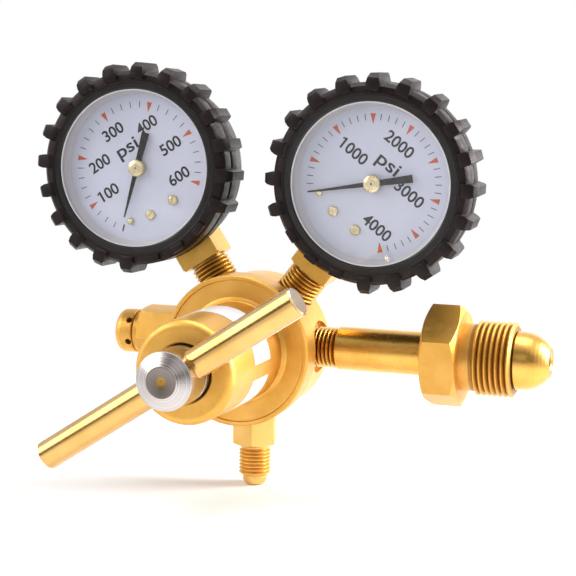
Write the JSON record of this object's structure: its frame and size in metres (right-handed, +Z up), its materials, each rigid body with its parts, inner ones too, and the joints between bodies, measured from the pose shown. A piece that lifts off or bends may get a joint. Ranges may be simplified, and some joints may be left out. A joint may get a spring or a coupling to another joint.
{
  "type": "gas pressure regulator",
  "caption": "Round-bodied gas pressure regulator with a T-handle, dial gauges in toothed rubber boots, a nut-and-nipple cylinder inlet, a flare outlet and a vented relief valve.",
  "frame": {"origin": "on the inlet axis, at the outer edge of the inlet nut's thread", "axes": "+X out of the inlet along the nut's thread, +Z up (the outlet points down), -Y along the handle, out of the dials"},
  "size_m": [0.1749, 0.0964, 0.1439],
  "materials": {
    "brass": "machined and forged brass, satin to bright",
    "bright_brass": "drawn brass, bright",
    "steel": "turned steel, bright plated",
    "spring_steel": "spring wire, oiled",
    "sintered_bronze": "sintered, rough",
    "diaphragm_rubber": "moulded sheet",
    "white_label": "plain white film",
    "black_paint": "black enamel",
    "clear_lens": "clear, glossy",
    "dial_white": "white dial enamel, printed",
    "boot_rubber": "moulded rubber, satin"
  },
  "bodies": {
    "regulator": {"body": "brass", "bonnet": "brass", "bonnet_label": "white_label", "slip_ring": "brass", "diaphragm": "diaphragm_rubber", "main_spring": "spring_steel", "seat_nozzle": "brass", "valve_spring": "spring_steel", "inlet_nipple": "brass", "inlet_filter": "sintered_bronze", "outlet_fitting": "brass", "relief_body": "brass", "relief_cap": "brass", "relief_spring": "spring_steel", "low_case": "black_paint", "low_bezel": "black_paint", "low_lens": "clear_lens", "low_dial": "dial_white", "low_dial_screws": "bright_brass", "low_stop_pin": "bright_brass", "low_movement": "bright_brass", "low_pressure_tube": "bright_brass", "low_socket": "brass", "low_boot": "boot_rubber", "high_case": "black_paint", "high_bezel": "black_paint", "high_lens": "clear_lens", "high_dial": "dial_white", "high_dial_screws": "bright_brass", "high_stop_pin": "bright_brass", "high_movement": "bright_brass", "high_pressure_tube": "bright_brass", "high_socket": "brass", "high_boot": "boot_rubber"},
    "adjuster": {"spring_button": "steel", "thrust_ball": "steel"},
    "handle": {"adjusting_screw": "steel", "handle_bar": "bright_brass"},
    "spring_plate": {"diaphragm_plate": "brass"},
    "valve": {"valve_poppet": "brass"},
    "relief_valve": {"relief_poppet": "steel"},
    "nut": {"inlet_nut": "brass"},
    "low_indicator": {"low_pointer": "black_paint", "low_pinion": "bright_brass"},
    "low_sector": {"low_sector_gear": "bright_brass"},
    "high_indicator": {"high_pointer": "black_paint", "high_pinion": "bright_brass"},
    "high_sector": {"high_sector_gear": "bright_brass"}
  },
  "joints": [
    {"name": "screw_travel", "type": "slide", "parent": "regulator", "child": "adjuster", "axis": [0, 1, 0], "range_m": [-0.0032, 0.0016], "deforming": ["main_spring"]},
    {"name": "handle_turn", "type": "hinge", "parent": "adjuster", "child": "handle", "pos_m": [-0.08947, -0.07, 0], "axis": [0, 1, 0], "range_deg": [-540, 270]},
    {"name": "diaphragm_travel", "type": "slide", "parent": "regulator", "child": "spring_plate", "axis": [0, 1, 0], "range_m": [0, 0.0008], "stiffness_N_per_m": 1500, "springref_m": -0.002, "deforming": ["diaphragm", "main_spring"]},
    {"name": "valve_lift", "type": "slide", "parent": "regulator", "child": "valve", "axis": [0, 1, 0], "range_m": [0, 0.0008], "deforming": ["valve_spring"]},
    {"name": "relief_lift", "type": "slide", "parent": "regulator", "child": "relief_valve", "axis": [-1, 0, 0], "range_m": [0, 0.0015], "stiffness_N_per_m": 2000, "springref_m": -0.003, "deforming": ["relief_spring"]},
    {"name": "nut_spin", "type": "hinge", "parent": "regulator", "child": "nut", "pos_m": [-0.02, 0, 0], "axis": [1, 0, 0], "continuous": true},
    {"name": "low_reading", "type": "hinge", "parent": "regulator", "child": "low_indicator", "pos_m": [-0.12797, 0, 0.05882], "axis": [-0.0394, 0.9989, -0.0258], "range_deg": [0, 270], "stiffness_Nm_per_rad": 0.001},
    {"name": "low_sector_swing", "type": "hinge", "parent": "regulator", "child": "low_sector", "pos_m": [-0.12134, 0, 0.0487], "axis": [-0.0394, 0.9989, -0.0258], "range_deg": [-27.5, 0]},
    {"name": "high_reading", "type": "hinge", "parent": "regulator", "child": "high_indicator", "pos_m": [-0.04512, 0, 0.05697], "axis": [-0.0275, 0.9994, 0.0214], "range_deg": [0, 270], "stiffness_Nm_per_rad": 0.001},
    {"name": "high_sector_swing", "type": "hinge", "parent": "regulator", "child": "high_sector", "pos_m": [-0.05255, 0, 0.04742], "axis": [-0.0275, 0.9994, 0.0214], "range_deg": [-27.5, 0]}
  ],
  "couplings": [
    {"joint": "screw_travel", "follows": "handle_turn", "m_per_rad": 0.00033693},
    {"joint": "valve_lift", "follows": "diaphragm_travel", "ratio": 1},
    {"joint": "low_sector_swing", "follows": "low_reading", "ratio": -0.1},
    {"joint": "high_sector_swing", "follows": "high_reading", "ratio": -0.1}
  ]
}
